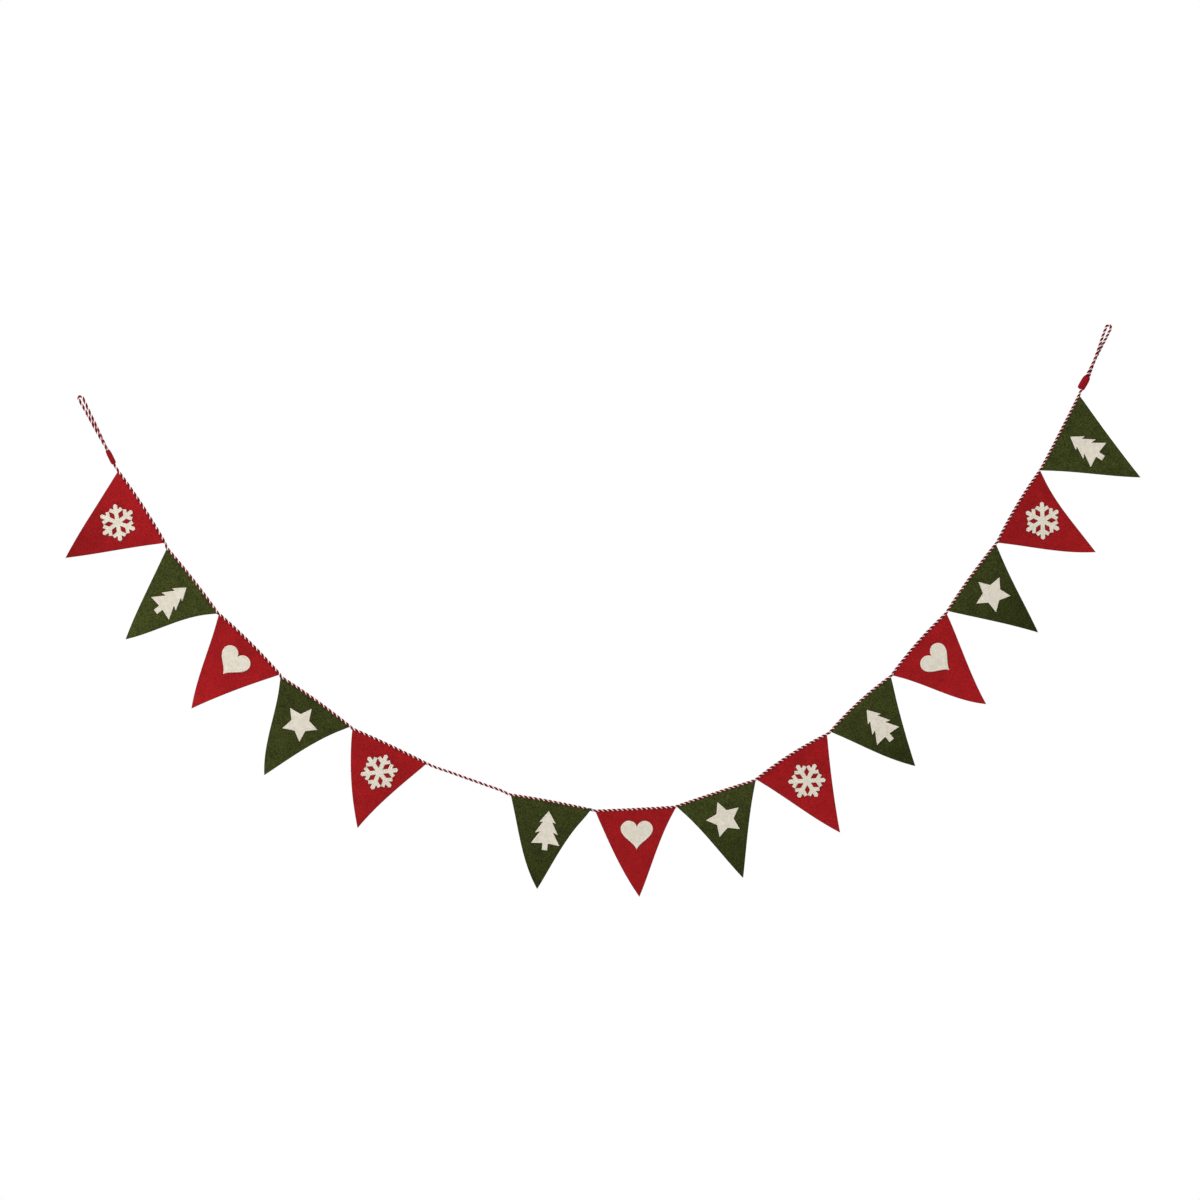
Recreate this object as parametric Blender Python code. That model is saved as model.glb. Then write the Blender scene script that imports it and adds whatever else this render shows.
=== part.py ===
"""Felt bunting: fourteen triangular pennants of thick wool felt, sewn below a two-coloured cord.

The garland hangs as a swag in the XZ plane and faces -Y, +X runs along it to the right and +Z is
up. The origin is the place where the left hook carries the left loop. Tables are in millimetres
and degrees, and MM turns them into metres.
"""

import math
from typing import NamedTuple

import bmesh
import bpy
from mathutils import Matrix, Vector
from mathutils.geometry import delaunay_2d_cdt, interpolate_bezier

MM = 0.001

CORD_DIAMETER = 3.0
CORD_BEVEL_STEPS = 2
CORD_POINT_SPACING = 40.0
TOP_EDGE_PIECES = 3
FELT_THICKNESS = 2.0
MOTIF_THICKNESS = 1.4
SEAM_GAP = 0.3
CUT_POINT_SPACING = 12.5

# The binding that holds the two strands of a loop together
BINDING_HALF_WIDTH = 5.4
BINDING_HALF_DEPTH = 3.7
BINDING_HOLE_HALF_WIDTH = 3.75
BINDING_HOLE_HALF_DEPTH = 2.0
BINDING_SIDES = 20
BINDING_ROUND_EXPONENT = 2.3
BINDING_HOLE_EXPONENT = 4.0
# Share of the way up the binding, and share of its full width there
BINDING_PROFILE = ((0.0, 0.76), (0.06, 0.92), (0.2, 1.0), (0.7, 1.0), (0.92, 0.88), (1.0, 0.72))
STRAND_HALF_SPACING = 1.7
TAIL_START = 2.5


class Loop(NamedTuple):
    """A hanging loop: its hook's bearing point, its binding's two ends and its two strands."""

    hook: tuple  # x, z
    head: tuple  # x, z of the binding's end towards the hook
    foot: tuple  # x, z of its end towards the pennants
    eye_half_width: float
    binding_turn: float  # the wide side's turn out of the picture plane
    running_side: int  # of the strand that leads on to the pennants: 1 or -1
    strands: tuple  # rows of height above the head, half spacing, turn


LEFT_LOOP = Loop(
    (0.0, 0.0), (37.4, -72.7), (46.8, -91.9), 2.8, 90.0, -1,
    ((22.0, 1.65, 60.0), (43.0, 1.75, 20.0), (62.0, 2.2, 0.0)),
)
RIGHT_LOOP = Loop(
    (1419.8, 97.9), (1390.2, 28.8), (1380.1, 11.2), 3.2, 0.0, 1,
    ((9.0, 1.75, 50.0), (24.0, 1.65, 75.0), (40.0, 1.75, 45.0), (56.0, 2.4, 5.0)),
)


class Pennant(NamedTuple):
    """One pennant: its place on the cord, its cut, how it hangs, and the motif sewn on it."""

    felt: str
    left: tuple  # x, z of the cord's axis over the top left corner
    right: tuple  # x, z of the cord's axis over the top right corner
    height: float
    lean: float  # of the tip, to the right of the top edge's middle
    top_bow: float  # rise of the top edge and the cord, midway between the corners
    left_bow: tuple  # outward push of the left edge's upper and lower handle
    right_bow: tuple
    cup: float  # of the side edges, forward of the middle
    tip_out: float  # of the tip, forward of the top edge
    twist: float  # of the right edge, forward of the left one
    corner_over: float  # of the top right corner, forward over the cord
    motif: str
    drop: float  # of the motif's centre, below the top edge
    turn: float  # of the motif, anticlockwise


PENNANTS = (
    Pennant("red", (52.8, -102.2), (116.7, -200.2), 125.3, 1.0, 1.9,
            (-0.5, 2.6), (-1.4, 1.4), 2.0, -6.0, 1.5, 0.0, "snowflake", 38.0, 5.0),
    Pennant("green", (120.3, -208.7), (190.0, -297.8), 120.0, 7.0, 1.5,
            (-0.3, 3.6), (-11.8, 2.0), -2.0, 5.0, -2.0, 0.0, "tree", 39.0, -3.0),
    Pennant("red", (192.1, -299.3), (275.3, -382.0), 117.0, 6.0, 2.1,
            (-1.6, 6.0), (-2.5, -3.0), 1.5, 5.0, 2.0, 0.0, "heart", 34.0, 2.0),
    Pennant("green", (277.0, -385.7), (372.2, -454.0), 121.4, 2.0, 1.8,
            (-4.6, 9.6), (-8.7, -3.2), -1.5, 4.0, -2.5, 0.0, "star", 35.0, -4.0),
    Pennant("red", (376.2, -457.5), (477.7, -505.0), 119.0, 8.0, 1.0,
            (7.0, 6.8), (-2.4, -5.5), -1.5, 3.0, 1.5, 0.0, "snowflake", 37.0, -2.0),
    Pennant("green", (594.8, -548.5), (705.9, -569.4), 119.7, 2.6, 1.2,
            (1.5, 10.5), (-10.5, -2.5), -2.0, -5.0, 2.0, 3.4, "tree", 39.0, 3.0),
    Pennant("red", (711.3, -570.6), (821.8, -565.1), 119.2, -1.0, -0.5,
            (3.0, 6.0), (-6.5, 0.5), -1.5, 4.0, -1.5, 0.0, "heart", 35.0, -3.0),
    Pennant("green", (823.3, -564.2), (931.5, -528.3), 121.5, -1.3, 0.5,
            (-6.0, 0.5), (-4.0, -1.0), -2.5, -7.0, 2.0, 0.0, "star", 36.0, 4.0),
    Pennant("red", (933.2, -526.7), (1029.8, -465.2), 122.0, 0.3, 3.1,
            (-1.8, 4.0), (-2.0, -2.2), 1.5, 4.0, -2.0, 0.0, "snowflake", 38.0, 0.0),
    Pennant("green", (1035.6, -460.9), (1118.0, -385.3), 113.0, -2.0, 3.4,
            (0.0, 6.5), (-2.5, -2.5), 1.5, -7.0, 2.5, 0.0, "tree", 38.5, -2.0),
    Pennant("red", (1120.1, -382.9), (1194.8, -298.1), 122.3, -1.0, 2.7,
            (-4.0, 9.0), (0.5, -4.5), 1.5, 3.0, 1.5, 0.0, "heart", 34.0, 4.0),
    Pennant("green", (1197.1, -294.2), (1263.0, -202.8), 117.8, -7.5, 1.6,
            (-0.5, -2.5), (-3.5, 0.0), -3.0, -7.0, -2.0, 0.0, "star", 35.0, -2.0),
    Pennant("red", (1265.4, -199.9), (1324.1, -101.4), 121.2, 0.0, 2.5,
            (0.0, 7.0), (-9.0, -2.0), -1.5, 5.0, 2.0, 0.0, "snowflake", 37.0, 3.0),
    Pennant("green", (1325.1, -100.2), (1378.1, 2.5), 125.8, -3.4, -0.4,
            (-3.0, 2.0), (-1.0, -2.0), -1.5, -2.0, -1.5, 0.0, "tree", 42.0, -4.0),
)
LONG_SPACE_AFTER = 5
# x, z of the cord's axis in the long space
LONG_SPACE = ((515.8, -519.3), (555.3, -533.5), (580.8, -542.5))

STAR_OUTER, STAR_INNER, STAR_POINTS = 25.0, 12.5, 5
HEART_WIDTH, HEART_STEPS = 44.0, 26
# Height above the tree's middle and half width, down the right side
TREE_SIDE = ((28.0, 0.0), (12.0, 11.0), (13.5, 6.0), (-3.0, 15.5), (-0.5, 8.5),
             (-18.0, 19.5), (-16.5, 3.6), (-26.0, 3.6))
SNOW_ARMS, SNOW_RADIUS, SNOW_HALF_ARM, SNOW_TIP = 6, 24.0, 2.7, 1.8
SNOW_BARB_START, SNOW_BARB_LENGTH, SNOW_BARB_WIDTH, SNOW_BARB_ANGLE = 12.5, 8.0, 4.6, 58.0

# Colour and roughness of each finish
FINISHES = {
    "red_felt": ((0.36, 0.012, 0.018), 0.92),
    "green_felt": ((0.040, 0.056, 0.014), 0.92),
    "cream_felt": ((0.74, 0.68, 0.56), 0.9),
    "red_thread": ((0.30, 0.010, 0.016), 0.75),
    "cord_yarn": ((0.55, 0.20, 0.20), 0.85),
}


def clear_scene():
    for obj in list(bpy.data.objects):
        bpy.data.objects.remove(obj, do_unlink=True)


def finish(name):
    """The material of one finish, made the first time that it is asked for."""
    found = bpy.data.materials.get(name)
    if found:
        return found
    colour, roughness = FINISHES[name]
    made = bpy.data.materials.new(name)
    made.use_nodes = True
    shader = made.node_tree.nodes["Principled BSDF"]
    shader.inputs["Base Color"].default_value = (*colour, 1.0)
    shader.inputs["Roughness"].default_value = roughness
    shader.inputs["Metallic"].default_value = 0.0
    return made


def add_object(name, data, material, parent):
    obj = bpy.data.objects.new(name, data)
    bpy.context.collection.objects.link(obj)
    data.materials.append(finish(material))
    obj.parent = parent
    return obj


def smooth_step(share):
    share = min(max(share, 0.0), 1.0)
    return share * share * (3.0 - 2.0 * share)


# The cord


def upright(*places):
    """Places in the picture plane as 3-D vectors."""
    return [Vector((x, 0.0, z)) for x, z in places]


def sideways(direction, turn):
    """The unit vector across a direction, turned out of the picture plane."""
    across = Vector((direction.z, 0.0, -direction.x)).normalized()
    angle = math.radians(turn)
    return across * math.cos(angle) + Vector((0.0, math.sin(angle), 0.0))


def loop_strand(loop, side):
    """The points of one strand, from the binding's foot up to the eye. side is 1 or -1."""
    hook, head, foot = upright(loop.hook, loop.head, loop.foot)
    bound = (head - foot).normalized()
    free = (hook - head).normalized()
    points = [
        end + sideways(bound, loop.binding_turn) * side * STRAND_HALF_SPACING
        for end in (foot, head)
    ]
    arc_height = (hook - head).length + CORD_DIAMETER / 2 - loop.eye_half_width
    rows = [*loop.strands]
    for degrees in (0.0, 45.0):
        height, half = math.sin(math.radians(degrees)), math.cos(math.radians(degrees))
        rows.append((arc_height + loop.eye_half_width * height, loop.eye_half_width * half, 0.0))
    for height, half, turn in rows:
        points.append(head + free * height + sideways(free, turn) * side * half)
    return points


def loop_route(loop):
    """A loop's points from the tail's end, over the hook, to where the cord leaves the binding."""
    hook, head, foot = upright(loop.hook, loop.head, loop.foot)
    tail = loop_strand(loop, -loop.running_side)
    tail[0] += (head - foot).normalized() * TAIL_START
    apex = hook + (hook - head).normalized() * CORD_DIAMETER / 2
    return [*tail, apex, *reversed(loop_strand(loop, loop.running_side))]


def cord_route():
    """The cord's own points, from tail to tail, and the way it is held at each, or None."""
    points = loop_route(LEFT_LOOP)
    ways = [None] * len(points)
    for number, pennant in enumerate(PENNANTS, 1):
        left, right = upright(pennant.left, pennant.right)
        edge = right - left
        climb = sideways(edge, 0.0) * -4.0 * pennant.top_bow
        points += [left, right]
        ways += [(edge + climb).normalized(), (edge - climb).normalized()]
        if number == LONG_SPACE_AFTER:
            points += upright(*LONG_SPACE)
            ways += [None] * len(LONG_SPACE)
    points += reversed(loop_route(RIGHT_LOOP))
    return points, ways + [None] * (len(points) - len(ways))


def smooth_line(route, held, spacing):
    """Points at most about spacing apart on a curve that runs smoothly through the route."""
    last = len(route) - 1
    ways = [
        way or (route[min(i + 1, last)] - route[max(i - 1, 0)]).normalized()
        for i, way in enumerate(held)
    ]
    line = [route[0]]
    for start, end, way_out, way_in in zip(route, route[1:], ways, ways[1:]):
        reach = (end - start).length / 3
        pieces = math.ceil((end - start).length / spacing)
        knots = interpolate_bezier(
            start, start + way_out * reach, end - way_in * reach, end, pieces + 1
        )
        line += knots[1:]
    return line


def build_cord(parent):
    line = smooth_line(*cord_route(), CORD_POINT_SPACING)
    curve = bpy.data.curves.new("cord", "CURVE")
    curve.dimensions = "3D"
    curve.bevel_depth = CORD_DIAMETER / 2 * MM
    curve.bevel_resolution = CORD_BEVEL_STEPS
    curve.use_fill_caps = True
    spline = curve.splines.new("POLY")
    spline.points.add(len(line) - 1)
    for knot, point in zip(spline.points, line):
        knot.co = (*(point * MM), 1.0)
    add_object("cord", curve, "cord_yarn", parent)


# The bindings


def rounded_ring(half_width, half_depth, exponent):
    """Points round an oval that lies between an ellipse and a rectangle, in the XY plane."""
    ring = []
    for step in range(BINDING_SIDES):
        angle = math.tau * step / BINDING_SIDES
        x, y = math.cos(angle), math.sin(angle)
        ring.append((
            math.copysign(abs(x) ** (2 / exponent), x) * half_width,
            math.copysign(abs(y) ** (2 / exponent), y) * half_depth,
        ))
    return ring


def build_binding(name, loop, parent):
    """The wound sleeve round both strands of a loop: its outside up, then back down its hole."""
    bm = bmesh.new()
    outside = rounded_ring(BINDING_HALF_WIDTH, BINDING_HALF_DEPTH, BINDING_ROUND_EXPONENT)
    hole = rounded_ring(BINDING_HOLE_HALF_WIDTH, BINDING_HOLE_HALF_DEPTH, BINDING_HOLE_EXPONENT)
    levels = [(outside, width, way_up) for way_up, width in BINDING_PROFILE]
    levels += [(hole, 1.0, way_up) for way_up in (1.0, 0.0)]
    head, foot = upright(loop.head, loop.foot)
    length = (head - foot).length
    rings = [
        [bm.verts.new(Vector((x * width, y * width, length * way_up)) * MM) for x, y in outline]
        for outline, width, way_up in levels
    ]
    for lower, upper in zip(rings, rings[1:] + rings[:1]):
        for i in range(BINDING_SIDES):
            j = (i + 1) % BINDING_SIDES
            bm.faces.new((lower[i], lower[j], upper[j], upper[i]))
    bmesh.ops.recalc_face_normals(bm, faces=bm.faces)
    mesh = bpy.data.meshes.new(name)
    bm.to_mesh(mesh)
    bm.free()
    mesh.shade_smooth()
    mesh.set_sharp_from_angle(angle=math.radians(50.0))
    obj = add_object(name, mesh, "red_thread", parent)
    up = (head - foot).normalized()
    wide = sideways(up, loop.binding_turn)
    obj.location = foot * MM
    obj.rotation_euler = Matrix((wide, up.cross(wide), up)).transposed().to_euler()


# Felt pieces


def forward(pennant, along, depth):
    """How far the felt comes forward at a place along and below the top edge."""
    width = (Vector(pennant.right) - Vector(pennant.left)).length
    across = 2.0 * along / width
    down = depth / pennant.height
    loose = smooth_step(down / 0.6)
    corner_reach = smooth_step((along - width / 2 + 28.0) / 17.0) * smooth_step(1.0 - depth / 34.0)
    return (
        (pennant.cup * across * across + pennant.twist * across) * loose
        + pennant.tip_out * down * down
        + pennant.corner_over * corner_reach
    )


def rise(pennant, along, depth):
    """How far the corner that covers the cord stands above the top edge."""
    if not pennant.corner_over:
        return 0.0
    width = (Vector(pennant.right) - Vector(pennant.left)).length
    share = max(0.0, (along - width / 2 + 11.0) / 11.0)
    return pennant.corner_over * share * smooth_step(1.0 - depth / 22.0)


def split_edges(corners, spacing):
    """The closed outline again, with its long straight sides cut to at most spacing."""
    outline = []
    for start, end in zip(corners, corners[1:] + corners[:1]):
        pieces = max(1, math.ceil((end - start).length / spacing))
        outline += [start.lerp(end, step / pieces) for step in range(pieces)]
    return outline


def side_edge(start, end, bow, outward, pieces):
    """One side of a pennant from corner to corner, bowed by its two handles."""
    handles = [start.lerp(end, share) + outward * push for share, push in zip((1 / 3, 2 / 3), bow)]
    return [point.to_2d() for point in interpolate_bezier(start, *handles, end, pieces + 1)]


def pennant_outline(pennant):
    """The pennant's cut, as (along, up) points from its top edge, anticlockwise."""
    half = (Vector(pennant.right) - Vector(pennant.left)).length / 2
    left, right = Vector((-half, 0.0)), Vector((half, 0.0))
    tip = Vector((pennant.lean, -pennant.height))
    pieces = math.ceil(pennant.height / CUT_POINT_SPACING)
    left_out = (tip - left).orthogonal().normalized() * -1
    right_out = (tip - right).orthogonal().normalized()
    down = side_edge(left, tip, pennant.left_bow, left_out, pieces)
    back = side_edge(right, tip, pennant.right_bow, right_out, pieces)
    handles = (pennant.top_bow * 4 / 3,) * 2
    over = side_edge(right, left, handles, Vector((0.0, 1.0)), TOP_EDGE_PIECES)
    return [*down, *reversed(back[:-1]), *over[1:-1]]


def star_outline():
    outline = []
    for step in range(2 * STAR_POINTS):
        angle = math.radians(90.0) + math.pi * step / STAR_POINTS
        radius = STAR_INNER if step % 2 else STAR_OUTER
        outline.append(Vector((math.cos(angle), math.sin(angle))) * radius)
    return outline


def heart_outline():
    """The heart curve, anticlockwise from its cleft."""
    outline = []
    for step in range(HEART_STEPS):
        angle = -math.tau * step / HEART_STEPS
        x = 16.0 * math.sin(angle) ** 3
        y = 13.0 * math.cos(angle) - 5.0 * math.cos(2 * angle)
        y -= 2.0 * math.cos(3 * angle) + math.cos(4 * angle)
        outline.append(Vector((x, y + 2.5)) * HEART_WIDTH / 32.0)
    return outline


def tree_outline():
    left = [Vector((-half, height)) for height, half in TREE_SIDE]
    right = [Vector((half, height)) for height, half in reversed(TREE_SIDE[1:])]
    return left + right


def snowflake_outline():
    """Six arms with a pair of barbs each, anticlockwise."""
    lean = math.radians(SNOW_BARB_ANGLE)
    out = Vector((math.sin(lean), math.cos(lean)))
    wide = Vector((-out.y, out.x))
    root = Vector((SNOW_HALF_ARM, SNOW_BARB_START))
    arm = [
        Vector((SNOW_HALF_ARM, SNOW_HALF_ARM / math.tan(math.pi / SNOW_ARMS))),
        root,
        root + out * SNOW_BARB_LENGTH,
        root + out * SNOW_BARB_LENGTH + wide * SNOW_BARB_WIDTH,
        Vector((SNOW_HALF_ARM, SNOW_BARB_START + SNOW_BARB_WIDTH / math.sin(lean))),
        Vector((SNOW_HALF_ARM, SNOW_RADIUS)),
    ]
    arm += [Vector((0.0, SNOW_RADIUS + SNOW_TIP))]
    arm += [Vector((-point.x, point.y)) for point in reversed(arm[1:-1])]
    outline = []
    for number in range(SNOW_ARMS):
        turn = Matrix.Rotation(math.tau * number / SNOW_ARMS, 2)
        outline += [turn @ point for point in arm]
    return outline


MOTIFS = {
    "star": star_outline,
    "heart": heart_outline,
    "tree": tree_outline,
    "snowflake": snowflake_outline,
}


def motif_cut(pennant):
    """The motif's outline at its place on the pennant, as (along, up) points."""
    middle = Vector((pennant.lean * pennant.drop / pennant.height, -pennant.drop))
    axis_turn = math.atan2(pennant.lean, pennant.height)
    turn = Matrix.Rotation(math.radians(pennant.turn) + axis_turn, 2)
    return [middle + turn @ point for point in MOTIFS[pennant.motif]()]


def inner_points(outline, spacing):
    """Evenly staggered points inside an outline, none of them close to it."""
    low = Vector((min(p.x for p in outline), min(p.y for p in outline)))
    high = Vector((max(p.x for p in outline), max(p.y for p in outline)))
    row_height = spacing * math.sqrt(0.75)
    sides = list(zip(outline, outline[1:] + outline[:1]))
    found = []
    for row in range(1, math.ceil((high.y - low.y) / row_height)):
        y = low.y + row * row_height
        for column in range(math.ceil((high.x - low.x) / spacing) + 1):
            point = Vector((low.x + (column + row % 2 / 2) * spacing, y))
            crossings = 0
            nearest = math.inf
            for start, end in sides:
                side = end - start
                share = min(max((point - start).dot(side) / side.length_squared, 0.0), 1.0)
                nearest = min(nearest, (start + side * share - point).length)
                if (start.y > y) != (end.y > y):
                    crossings += point.x < start.x + side.x * (y - start.y) / side.y
            if crossings % 2 and nearest > 0.45 * spacing:
                found.append(point)
    return found


def build_felt(name, outline, pennant, thickness, in_front, material, parent):
    """A flat cut of felt, bent as its pennant hangs. in_front is its middle's place before it."""
    outline = split_edges(outline, CUT_POINT_SPACING)
    sides = [(i, (i + 1) % len(outline)) for i in range(len(outline))]
    points = outline + inner_points(outline, CUT_POINT_SPACING)
    flat, _, triangles, *_ = delaunay_2d_cdt(points, sides, [], 1, 1e-4)
    top = -(CORD_DIAMETER / 2 + SEAM_GAP)
    bm = bmesh.new()
    corners = []
    for point in flat:
        y = -forward(pennant, point.x, -point.y) - in_front
        z = top + point.y + rise(pennant, point.x, -point.y)
        corners.append(bm.verts.new(Vector((point.x, y, z)) * MM))
    for triangle in triangles:
        bm.faces.new([corners[i] for i in triangle])
    mesh = bpy.data.meshes.new(name)
    bm.to_mesh(mesh)
    bm.free()
    obj = add_object(name, mesh, material, parent)
    solidify = obj.modifiers.new("felt", "SOLIDIFY")
    solidify.thickness = thickness * MM
    solidify.offset = 0.0
    return obj


def build_pennant(number, pennant, parent):
    left, right = (Vector((x, 0.0, z)) for x, z in (pennant.left, pennant.right))
    edge = right - left
    felt = build_felt(
        f"pennant_{number:02d}_{pennant.felt}", pennant_outline(pennant), pennant,
        FELT_THICKNESS, 0.0, f"{pennant.felt}_felt", parent,
    )
    felt.location = (left + right) / 2 * MM
    felt.rotation_euler = (0.0, -math.atan2(edge.z, edge.x), 0.0)
    in_front = FELT_THICKNESS / 2 + SEAM_GAP + MOTIF_THICKNESS / 2
    build_felt(
        f"motif_{number:02d}_{pennant.motif}", motif_cut(pennant), pennant,
        MOTIF_THICKNESS, in_front, "cream_felt", felt,
    )


def main():
    clear_scene()
    bunting = bpy.data.objects.new("bunting", None)
    bpy.context.collection.objects.link(bunting)
    build_cord(bunting)
    build_binding("left_binding", LEFT_LOOP, bunting)
    build_binding("right_binding", RIGHT_LOOP, bunting)
    for number, pennant in enumerate(PENNANTS, 1):
        build_pennant(number, pennant, bunting)


main()
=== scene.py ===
"""The bunting as it looks: a three-ply cord, wool felt pennants, stitched motifs, wound bindings.

The garland hangs in the XZ plane and faces -Y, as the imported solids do. The tables are in
millimetres and degrees, from the left hook's bearing point, and MM turns them into metres.
"""

import math
from typing import NamedTuple

import bpy
import numpy as np
from mathutils import Matrix, Vector, noise
from mathutils.geometry import delaunay_2d_cdt, interpolate_bezier


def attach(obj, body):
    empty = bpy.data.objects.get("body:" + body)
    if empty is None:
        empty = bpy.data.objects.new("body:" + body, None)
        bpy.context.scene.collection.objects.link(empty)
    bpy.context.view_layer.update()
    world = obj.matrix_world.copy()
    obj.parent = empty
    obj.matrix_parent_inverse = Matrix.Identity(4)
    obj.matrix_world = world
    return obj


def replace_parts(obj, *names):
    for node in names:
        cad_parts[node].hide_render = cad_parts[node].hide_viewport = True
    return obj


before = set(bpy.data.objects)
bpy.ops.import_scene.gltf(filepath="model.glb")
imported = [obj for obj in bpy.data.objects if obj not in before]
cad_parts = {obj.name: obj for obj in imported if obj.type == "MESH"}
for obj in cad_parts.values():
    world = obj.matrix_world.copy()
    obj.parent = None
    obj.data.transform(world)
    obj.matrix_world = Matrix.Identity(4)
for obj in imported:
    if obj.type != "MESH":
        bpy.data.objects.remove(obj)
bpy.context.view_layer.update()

MM = 0.001

CORD_DIAMETER = 3.0
FELT_THICKNESS = 2.0
MOTIF_THICKNESS = 1.4
SEAM_GAP = 0.05
CORD_SPACING = 1.5
FELT_SPACING = 2.2
MOTIF_SPACING = 1.5


# The bunting's own tables


class Loop(NamedTuple):
    """A hanging loop: its hook's bearing point, its binding's two ends and its two strands."""

    hook: tuple  # x, z
    head: tuple  # x, z of the binding's end towards the hook
    foot: tuple  # x, z of its end towards the pennants
    eye_half_width: float
    binding_turn: float  # the wide side's turn out of the picture plane
    running_side: int  # of the strand that leads on to the pennants: 1 or -1
    cord_turns: tuple  # of the plies in the running strand, up to the hook, and in the tail
    strands: tuple  # rows of height above the head, half spacing, turn


LEFT_LOOP = Loop(
    (0.0, 0.0), (37.4, -72.7), (46.8, -91.9), 2.8, 90.0, -1, (13.14, 11.14),
    ((22.0, 1.65, 60.0), (43.0, 1.75, 20.0), (62.0, 2.2, 0.0)),
)
RIGHT_LOOP = Loop(
    (1419.8, 97.9), (1390.2, 28.8), (1380.1, 11.2), 3.2, 0.0, 1, (16.12, 14.2),
    ((9.0, 1.75, 50.0), (24.0, 1.65, 75.0), (40.0, 1.75, 45.0), (56.0, 2.4, 5.0)),
)
STRAND_HALF_SPACING = 1.7
TAIL_START = 2.5


class Pennant(NamedTuple):
    """One pennant: its place on the cord, its cut, how it hangs, and the motif sewn on it."""

    felt: str
    left: tuple  # x, z of the cord's axis over the top left corner
    right: tuple  # x, z of the cord's axis over the top right corner
    height: float
    lean: float  # of the tip, to the right of the top edge's middle
    top_bow: float  # rise of the top edge and the cord, midway between the corners
    left_bow: tuple  # outward push of the left edge's upper and lower handle
    right_bow: tuple
    cup: float  # of the side edges, forward of the middle
    tip_out: float  # of the tip, forward of the top edge
    twist: float  # of the right edge, forward of the left one
    motif: str
    drop: float  # of the motif's centre, below the top edge
    turn: float  # of the motif, anticlockwise
    cord_turns: float  # of the plies, from the left corner to the next left corner or binding
    tone: tuple  # painted light and shade on the felt against its usual colour, at the top and at the tip
    corner_over: float = 0.0  # of the top right corner, forward over the cord


PENNANTS = (
    Pennant("red", (52.8, -102.2), (116.7, -200.2), 125.3, 1.0, 1.9,
        (-0.5, 2.6), (-1.4, 1.4), 2.0, -6.0, 1.5, "snowflake", 38.0, 5.0, 15.31, (1.06, 0.77)),
    Pennant("green", (120.3, -208.7), (190.0, -297.8), 120.0, 7.0, 1.5,
        (-0.3, 3.6), (-11.8, 2.0), -2.0, 5.0, -2.0, "tree", 39.0, -3.0, 14.79, (1.12, 1.30)),
    Pennant("red", (192.1, -299.3), (275.3, -382.0), 117.0, 6.0, 2.1,
        (-1.6, 6.0), (-2.5, -3.0), 1.5, 5.0, 2.0, "heart", 34.0, 2.0, 15.84, (0.98, 1.20)),
    Pennant("green", (277.0, -385.7), (372.2, -454.0), 121.4, 2.0, 1.8,
        (-4.6, 9.6), (-8.7, -3.2), -1.5, 4.0, -2.5, "star", 35.0, -4.0, 16.11, (0.91, 1.20)),
    Pennant("red", (376.2, -457.5), (477.7, -505.0), 119.0, 8.0, 1.0,
        (7.0, 6.8), (-2.4, -5.5), -1.5, 3.0, 1.5, "snowflake", 37.0, -2.0, 31.81, (0.99, 1.03)),
    Pennant("green", (594.8, -548.5), (705.9, -569.4), 119.7, 2.6, 1.2,
        (1.5, 10.5), (-10.5, -2.5), -2.0, -5.0, 2.0, "tree", 39.0, 3.0, 17.06, (1.02, 0.74), 3.4),
    Pennant("red", (711.3, -570.6), (821.8, -565.1), 119.2, -1.0, -0.5,
        (3.0, 6.0), (-6.5, 0.5), -1.5, 4.0, -1.5, "heart", 35.0, -3.0, 16.71, (0.95, 1.06)),
    Pennant("green", (823.3, -564.2), (931.5, -528.3), 121.5, -1.3, 0.5,
        (-6.0, 0.5), (-4.0, -1.0), -2.5, -7.0, 2.0, "star", 36.0, 4.0, 18.01, (1.14, 0.68)),
    Pennant("red", (933.2, -526.7), (1029.8, -465.2), 122.0, 0.3, 3.1,
        (-1.8, 4.0), (-2.0, -2.2), 1.5, 4.0, -2.0, "snowflake", 38.0, 0.0, 18.89, (0.98, 1.09)),
    Pennant("green", (1035.6, -460.9), (1118.0, -385.3), 113.0, -2.0, 3.4,
        (0.0, 6.5), (-2.5, -2.5), 1.5, -7.0, 2.5, "tree", 38.5, -2.0, 17.62, (1.08, 0.60)),
    Pennant("red", (1120.1, -382.9), (1194.8, -298.1), 122.3, -1.0, 2.7,
        (-4.0, 9.0), (0.5, -4.5), 1.5, 3.0, 1.5, "heart", 34.0, 4.0, 17.44, (1.00, 1.11)),
    Pennant("green", (1197.1, -294.2), (1263.0, -202.8), 117.8, -7.5, 1.6,
        (-0.5, -2.5), (-3.5, 0.0), -3.0, -7.0, -2.0, "star", 35.0, -2.0, 18.40, (1.01, 0.59)),
    Pennant("red", (1265.4, -199.9), (1324.1, -101.4), 121.2, 0.0, 2.5,
        (0.0, 7.0), (-9.0, -2.0), -1.5, 5.0, 2.0, "snowflake", 37.0, 3.0, 18.63, (0.88, 1.06)),
    Pennant("green", (1325.1, -100.2), (1378.1, 2.5), 125.8, -3.4, -0.4,
        (-3.0, 2.0), (-1.0, -2.0), -1.5, -2.0, -1.5, "tree", 42.0, -4.0, 20.62, (1.07, 1.03)),
)
LONG_SPACE_AFTER = 5
# x, z of the cord's axis in the long space
LONG_SPACE = ((515.8, -519.3), (555.3, -533.5), (580.8, -542.5))

STAR_OUTER, STAR_INNER, STAR_POINTS = 25.0, 12.5, 5
HEART_WIDTH, HEART_STEPS = 44.0, 52
# In the heart curve: where its pinched tip is cut short, and how far it is raised to its middle
HEART_LOWEST, HEART_LIFT = -16.4, 2.5
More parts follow.
